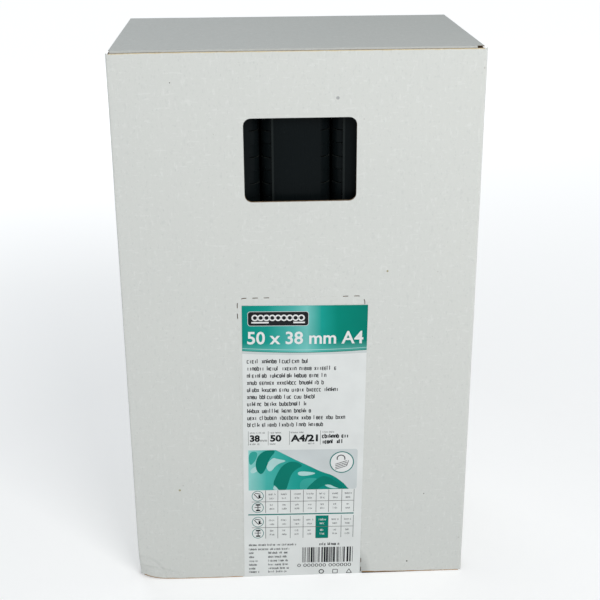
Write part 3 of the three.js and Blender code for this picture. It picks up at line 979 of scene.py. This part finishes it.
def paper_finish(name, colour, gloss=0.3):
    """Coated paper or ink: a slight cloudiness, a fine tooth and a satin gloss."""
    finish = Finish(name, 0.45, colour, gloss)
    shade = tuple(c * 0.92 for c in colour)
    tone = finish.tint(colour, finish.ramp(finish.noise(60), 0.35, 0.7), shade)
    tooth = finish.ramp(finish.noise(1600, 2), 0.62, 0.8, 0.0, 0.3)
    finish.feed("Base Color", finish.tint(tone, tooth, shade))
    finish.feed("Roughness", finish.ramp(finish.noise(500, 2), 0.3, 0.7, 0.4, 0.52))
    finish.bump(finish.noise(45, 2), 0.25 * MM, 0.3)
    finish.bump(finish.noise(2400, 2), 0.01 * MM, 0.4)
    return finish.material


label_white = paper_finish("label_white", (0.715, 0.735, 0.725))
paper_loop = rectangle(0, LABEL_WIDTH, 0, LABEL_HEIGHT)
paper_points, paper_faces = slab(fill([paper_loop], 5 * MM), label_place, PAPER_FACE, PAPER_BACK)
stands_for(make_piece("label_paper", [(paper_points, paper_faces, [label_white] * 3)], [label_white]),
           CARTON, "label_paper", "label")

# %% Inks
HEADER_TEAL = ((-0.033, (6, 132, 120)), (-0.018, (20, 146, 134)), (-0.004, (78, 172, 166)),
               (0.004, (112, 188, 183)), (0.012, (24, 152, 141)), (0.021, (0, 129, 113)),
               (0.037, (0, 119, 104)))
ART_TEAL = ((-0.032, (150, 208, 204)), (-0.02, (70, 172, 164)), (-0.004, (34, 154, 144)),
            (0.008, (12, 140, 128)), (0.022, (6, 128, 114)))


def paint(red, green, blue):
    """A printed colour given as 0 to 255 values, turned into linear light."""
    value = np.array([red, green, blue]) / 255
    return tuple(np.where(value < 0.04045, value / 12.92, ((value + 0.055) / 1.055) ** 2.4))


def teal_gradient(name, stops, lift):
    """Ink whose colour runs from left to right through the given stops, lighter low down by lift."""
    finish = Finish(name, 0.45, paint(*stops[0][1]), 0.06)
    across = finish.node("ShaderNodeSeparateXYZ", "X", {"Vector": finish.place})
    low, high = stops[0][0], stops[-1][0]
    colours = finish.node("ShaderNodeValToRGB", "Color", {"Fac": finish.ramp(across, low, high)})
    marks = colours.node.color_ramp.elements
    for i, (x, colour) in enumerate(stops):
        place = (x - low) / (high - low)
        mark = marks[i] if i < 2 else marks.new(place)
        mark.position = place
        mark.color = (*paint(*colour), 1)
    lower = finish.ramp(across.node.outputs["Z"], 0.1535, 0.149, 0.0, lift)
    tone = finish.tint(colours, lower, paint(120, 195, 190))
    cloud = finish.ramp(finish.noise(70, 2), 0.4, 0.7, 0.0, 0.12)
    finish.feed("Base Color", finish.tint(tone, cloud, paint(0, 100, 88)))
    finish.bump(finish.noise(45, 2), 0.25 * MM, 0.3)
    return finish.material


header_teal = teal_gradient("ink_header_teal", HEADER_TEAL, 0.35)
art_teal = teal_gradient("ink_art_teal", ART_TEAL, 0.0)
art_dark = paper_finish("ink_art_dark_teal", paint(2, 118, 104), 0.08)
line_teal = paper_finish("ink_line_teal", paint(20, 118, 112), 0.1)
mid_teal = paper_finish("ink_mid_teal", paint(52, 160, 150), 0.1)
mist = paper_finish("ink_mist", paint(168, 208, 206))
shadow_grey = paper_finish("ink_soft_shadow", paint(196, 203, 203))
black = paper_finish("ink_black", (0.012, 0.014, 0.016), 0.1)
grey = paper_finish("ink_grey", (0.13, 0.14, 0.14), 0.1)
pale = paper_finish("ink_pale_grey", (0.57, 0.61, 0.615))
white = paper_finish("ink_white", (0.74, 0.75, 0.745))

# %% Print tools
INKS = [header_teal, art_teal, art_dark, line_teal, mid_teal, mist, shadow_grey, black, grey, pale, white]
printed = []
random = np.random.default_rng(38)
print(f"{len(INKS)} inks")


def ink_slab(flat, triangles, ink, level):
    """Adds triangles on the label, in metres, as the nth layer of ink."""
    top = PAPER_FACE - (level + 1) * INK_STEP
    points, faces = slab((flat, triangles), label_place, top, PAPER_FACE + INK_STEP)
    printed.append((points, faces, [ink] * 3))


def print_area(loops, ink, level=0):
    """An area of ink, its outline and holes given in millimetres on the label."""
    ink_slab(*fill([np.asarray(loop, float) * MM for loop in loops], 4 * MM), ink, level)


def print_bars(bars, ink, level=0):
    """Many straight strokes at once. A stroke is x0, y0, x1, y1 and its width, in millimetres."""
    bars = np.asarray(bars, float).reshape(-1, 5) * MM
    start, end, width = bars[:, 0:2], bars[:, 2:4], bars[:, 4:]
    way = (end - start) / np.hypot(*(end - start).T)[:, None]
    across = np.stack([-way[:, 1], way[:, 0]], -1) * width / 2
    flat = np.stack([start - across, end - across, end + across, start + across], axis=1)
    corner = 4 * np.arange(len(bars))[:, None]
    ink_slab(flat.reshape(-1, 2), np.concatenate([corner + (0, 1, 2), corner + (0, 2, 3)]), ink, level)


def print_path(points, width, ink, level=0):
    """Strokes of one width from point to point."""
    points = np.asarray(points, float)
    print_bars(np.column_stack([points[:-1], points[1:], np.full(len(points) - 1, width)]), ink, level)


def print_ring(x, y, radius, width, ink, level=0):
    """A circle drawn as a line, or a disc if the line is as wide as the radius."""
    holes = [arc((x, y), radius - width, 0, 360, 36)[:-1]] if width < radius else []
    print_area([arc((x, y), radius, 0, 360, 36)[:-1]] + holes, ink, level)


def print_figures(words, x0, x1, y0, y1, ink, level=0, bold=0.0):
    """Figures and unit signs set in the plain built-in face, stretched to fill a box."""
    text = bpy.data.curves.new("figures", "FONT")
    text.body = words
    text.offset = bold
    text.resolution_u = 3
    holder = bpy.data.objects.new("figures", text)
    mesh = bpy.data.meshes.new_from_object(holder)
    mesh.calc_loop_triangles()
    points = np.array([v.co[:2] for v in mesh.vertices])
    triangles = np.array([t.vertices[:] for t in mesh.loop_triangles])
    points, same = np.unique(points.round(6), axis=0, return_inverse=True)
    triangles = same.ravel()[triangles]
    triangles = triangles[[len(set(t)) == 3 for t in triangles.tolist()]]
    low, high = points.min(axis=0), points.max(axis=0)
    flat = (points - low) / (high - low) * [x1 - x0, y1 - y0] + [x0, y0]
    ink_slab(flat * MM, anticlockwise(flat, triangles), ink, level)
    bpy.data.objects.remove(holder)
    bpy.data.meshes.remove(mesh)


GLYPH_STROKES = np.array([(0, 0, 0, 1), (1, 0, 1, 0.68), (0, 0.68, 1, 0.68), (0, 0.34, 1, 0.34), (0, 0, 1, 0),
                          (0.5, 0, 0.5, 0.7), (0, 0, 0, 0.68), (0, 0.68, 1, 0), (0, 0, 1, 0.68)])
GLYPHS = ((0, 2, 1, 4), (6, 2, 1), (6, 2, 3, 4), (5,), (6, 2, 4), (1, 2, 3, 4, 6), (7, 8), (0,), (6, 1, 4),
          (0, 3, 1))


def suggested_words(x0, x1, y, height, ink, weight, level=0):
    """A line of made-up letters: each is two to five strokes of one small alphabet of marks."""
    advance = height * 0.56
    left = random.integers(4, 9)
    for x in np.arange(x0, x1 - advance * 0.7, advance):
        if left:
            marks = GLYPH_STROKES[list(GLYPHS[random.integers(len(GLYPHS))])]
            marks = marks * ([advance * 0.62, height] * 2) + [x, y] * 2
            print_bars(np.column_stack([marks, np.full(len(marks), height * weight)]), ink, level)
            left -= 1
        else:
            left = random.integers(3, 10)


# %% Header
WIDE, TALL = LABEL_WIDTH / MM, LABEL_HEIGHT / MM


def band_edge(height, sag):
    """A lower edge that hangs like a shallow parabola, from right to left."""
    u = np.linspace(WIDE, 0, 24)
    return np.stack([u, height - sag * 4 * (u / WIDE) * (1 - u / WIDE)], -1)


def band(high, low, sag_high, sag_low):
    """The area between two hanging edges."""
    return np.concatenate([band_edge(low, sag_low)[::-1], band_edge(high, sag_high)])


print_area([band(147.9, 146.6, 1.0, 0.9)], shadow_grey, 0)
print_area([np.concatenate([band_edge(148.3, 1.2)[::-1], [(WIDE, TALL), (0, TALL)]])], header_teal, 1)
print_area([band(150.0, 149.75, 1.1, 1.2)], mist, 2)
print_area([band(148.55, 148.2, 1.2, 1.2)], art_dark, 2)
print_area([rounded(3.1, 36.9, 163.2, 171.9, 1.6)], pale, 2)
print_area([rounded(3.4, 36.6, 163.5, 171.6, 1.4)], black, 3)
for i in range(9):
    print_ring(7.2 + 3.2 * i, 168.1, 1.9, 0.8, white, 4)
print_path([(5.2, 165.3), (34.8, 165.3)], 0.9, white, 5)
print_figures("50 x 38 mm A4", 2.9, 67.4, 152.2, 159.9, white, 3, 0.018)
print(f"header: {len(printed)} areas of ink so far")

# %% Lines of words and the size row
LINE_ENDS = (39.3, 53.2, 47.4, 45.9, 54.4, 42.6, 36.5, 38.8, 59.3, 46.8)
for i, end in enumerate(LINE_ENDS):
    suggested_words(2.7, end, 140.8 - 4.42 * i, 2.5, black, 0.18)
print_bars([(u, 89.0, u, 98.0, 0.22) for u in (3.0, 14.4, 26.6, 44.4)], grey)
SMALL_WORDS = ((3.9, 12.4, 96.6), (15.4, 22.6, 96.6), (27.4, 34.8, 96.6), (45.6, 52.4, 96.6),
               (3.9, 9.6, 89.3), (15.4, 19.4, 89.3), (37.4, 42.0, 89.3))
for u0, u1, v in SMALL_WORDS:
    suggested_words(u0, u1, v, 1.1, grey, 0.13)
for u1, v in ((61.2, 93.3), (58.6, 89.7)):
    suggested_words(45.6, u1, v, 2.5, black, 0.25)
for words, u0, u1, foot in (("38", 3.9, 9.6, 91.2), ("50", 15.5, 22.0, 91.2), ("A4/21", 27.3, 43.0, 91.0)):
    print_figures(words, u0, u1, foot, 95.6, black, 0, 0.045)
print_figures("mm", 9.8, 13.6, 91.3, 92.5, black)
print(f"words and size row: {len(printed)} areas of ink so far")

# %% [markdown]
# ### Picture of a comb
#
# The printed picture is a generic close view of a comb: a slanting tube with broad dark fingers
# that wrap it and pale gleams between them. Each shape is a loop of steps with its corners cut.

# %% Picture panel
PICTURE = (2.9, 66.2, 59.3, 85.8)


def softened(loop):
    """Two rounds of corner cutting: each corner gives way to points a quarter in from both sides."""
    loop = np.asarray(loop, float)
    for _ in range(2):
        after = np.roll(loop, -1, axis=0)
        loop = np.stack([0.75 * loop + 0.25 * after, 0.25 * loop + 0.75 * after], axis=1).reshape(-1, 2)
    return np.clip(loop, [PICTURE[0], PICTURE[2]], [PICTURE[1], PICTURE[3]])


def hull_of(x0, y0, *steps):
    """A loop that starts at a place and goes on by steps."""
    return np.cumsum([(x0, y0), *steps], axis=0)


TUBE = hull_of(-6.0, 50.0, (0, 42.0), (20.0, 0), (2.5, -4.8), (12.9, -7.6), (8.4, -4.4), (7.4, -4.2),
               (7.6, -2.6), (9.4, -8.8), (0, -10))
BANDS = (hull_of(7.6, 80.8, (3.4, 4.0), (4.6, 1.2), (3.4, -0.8), (-4.0, -5.0), (-1.4, -5.4), (-3.2, -5.8),
                 (-3.6, 4.6)),
         hull_of(19.6, 70.4, (2.6, 4.6), (3.8, 2.9), (4.4, 0.2), (4.6, -2.8), (-4.4, -2.2), (-2.8, -3.4),
                 (-1.5, -5.0), (-1.6, -6.4), (-3.6, 0.2), (-2.4, 3.4), (-1.8, 1.2)),
         hull_of(35.8, 58.6, (4.0, 5.0), (5.2, 4.6), (4.6, -0.4), (6.0, -4.6), (4.8, -4.8), (-6.6, 2.0),
                 (-4.2, 2.6), (-4.6, -2.0), (-3.4, -2.8)))
GLEAMS = (hull_of(12.6, 75.4, (4.4, 5.6), (2.4, -1.0), (6.4, -1.4), (-6.4, -2.0), (-4.0, -6.0)),
          hull_of(31.8, 71.8, (9.0, -1.0), (1.4, -1.0), (-5.8, -1.4), (-4.8, 0.4)),
          hull_of(46.4, 62.6, (3.6, 2.0), (4.0, -2.2), (4.6, -2.4), (-7.6, -0.4)),
          hull_of(3.4, 72.6, (4.6, 3.4), (1.6, -2.6), (-4.4, -3.4)),
          hull_of(20.2, 65.2, (4.6, -6.4), (-9.0, 0.4)))
SHADES = (hull_of(3.0, 84.6, (5.4, 0.6), (-0.8, -5.6), (-4.2, -4.8)),
          hull_of(17.4, 79.4, (6.6, -0.4), (3.4, -1.6), (-5.0, -5.6)),
          hull_of(33.6, 66.4, (8.4, 1.0), (2.8, -3.4), (-8.4, -5.6), (-4.0, 1.2)))
print_area([rounded(*PICTURE, 1.6)], pale, 0)
layers = ([TUBE], art_teal), (SHADES, mid_teal), (GLEAMS, mist), (BANDS, art_dark)
for level, (loops, ink) in enumerate(layers, 1):
    for loop in loops:
        print_area([softened(loop)], ink, level)
print_ring(57.1, 77.2, 7.1, 7.1, line_teal, 4)
print_ring(57.1, 77.2, 6.5, 6.5, white, 5)
print_bars([(53.4, 72.6 + 1.1 * i, 60.0, 74.8 + 1.1 * i, 0.38) for i in range(4)], black, 6)
print_path([(60.0, 74.8), (61.0, 78.3)], 0.38, black, 6)
print_path(arc((56.6, 79.6), 2.3, -20, 200, 8), 0.6, black, 6)
print(f"picture: {len(printed)} areas of ink so far")

# %% Size tables
COLUMNS = (12.8, 20.0, 27.4, 35.0, 42.5, 49.9, 57.6, 64.8)
MARKED_COLUMN = 4


def size_table(low, marked=None):
    """Two rows of cells with short made-up sizes, and a round pictogram before each row."""
    high = low + 15.2
    middle = low + 7.6
    print_bars([(u, low, u, high, 0.3) for u in COLUMNS], grey, 1)
    print_path([(4.6, middle), (COLUMNS[-1], middle)], 0.28, grey, 1)
    for y in (middle + 3.9, middle - 3.9):
        print_ring(8.2, y, 3.5, 0.36, line_teal)
    signs = np.array([(6.0, 5.4, 8.4, 2.4, 0.45), (8.4, 2.4, 10.6, 3.0, 0.45), (6.6, 5.9, 9.8, 5.2, 0.45),
                      (9.2, 4.6, 9.2, 2.6, 1.2), (7.0, -2.0, 9.7, -2.0, 1.0), (6.3, -3.7, 10.0, -3.7, 0.4),
                      (7.1, -5.8, 9.6, -5.8, 1.0), (8.3, -2.2, 8.3, -5.6, 0.5)])
    print_bars(signs + (0, middle, 0, middle, 0), black)
    for i, (u0, u1) in enumerate(zip(COLUMNS[:-1], COLUMNS[1:])):
        ink, level = (white, 4) if i == marked else (grey, 0)
        if i == marked:
            print_area([rectangle(u0, u1, low - 0.4, high)], art_dark, 2)
            print_path([(u0, middle), (u1, middle)], 0.2, black, 3)
        for y, wide in ((4.4, 3.6), (1.7, 2.4), (-2.8, 1.9), (-5.4, 2.3)):
            left = (u0 + u1 - wide) / 2
            suggested_words(left, left + wide + 0.4, middle + y, 1.25, ink, 0.14, level)


size_table(43.9)
size_table(26.3, MARKED_COLUMN)
print_path([(2.6, 42.8), (64.9, 42.8)], 0.75, line_teal, 1)
print(f"size tables: {len(printed)} areas of ink so far")

# %% Foot of the label
for y, u1 in ((21.3, 31.2), (18.3, 28.2)):
    suggested_words(2.9, u1, y, 1.4, grey, 0.2)
for y in (15.7, 12.9, 10.1, 7.4, 4.8, 2.4):
    suggested_words(2.9, 2.9 + random.uniform(3, 6.5), y, 1.4, grey, 0.21)
    suggested_words(14.4, 14.4 + random.uniform(10.5, 13.4), y, 1.4, grey, 0.21)
suggested_words(44.9, 57.6, 20.9, 1.8, black, 0.22)
BAR_START, BARS_WIDE = 34.4, 30.6
widths = random.choice([1, 2, 3, 4], 58, p=[0.48, 0.28, 0.16, 0.08])
edges = BAR_START + BARS_WIDE * np.cumsum(widths) / widths.sum()
print_bars([((a + b) / 2, 9.0, (a + b) / 2, 19.6, b - a) for a, b in zip(edges[0:-1:2], edges[1::2])], black)
print_figures("0 000000 000000", 31.8, 64.2, 5.8, 8.1, black)
print_ring(46.3, 2.4, 1.6, 0.55, black)
for sign in ([(53.2, 1.1), (56.0, 1.1), (56.0, 3.7), (53.2, 3.7), (53.2, 1.1)],
             [(61.4, 1.1), (64.6, 1.1), (63.0, 3.9), (61.4, 1.1)]):
    print_path(sign, 0.4, black)
stands_for(make_piece("label_print", printed, INKS), CARTON, "label_paper")

# %% [markdown]
# ## Floor

# %% Floor
FLOOR_GLOW = (0.37, 0.70)  # near the carton and far away
FLOOR_REACH = 12
floor_finish = Finish("pale_floor", 0.9, (0.8, 0.8, 0.8), 0.1)
floor_finish.shader.inputs["Emission Color"].default_value = (1.0, 1.0, 1.0, 1)
far = floor_finish.node("ShaderNodeVectorMath", "Value", {0: floor_finish.place}, operation="LENGTH")
floor_finish.feed("Emission Strength", floor_finish.ramp(far, 0.25, 1.6, *FLOOR_GLOW))
floor_mesh = bpy.data.meshes.new("floor")
floor_corners = [(x, y, 0) for x, y in rectangle(-FLOOR_REACH, FLOOR_REACH, -FLOOR_REACH, FLOOR_REACH)]
floor_mesh.from_pydata(floor_corners, [], [(0, 1, 2, 3)])
floor_mesh.materials.append(floor_finish.material)
floor = bpy.data.objects.new("floor", floor_mesh)
bpy.context.collection.objects.link(floor)
print(f"floor: {2 * FLOOR_REACH} m wide")
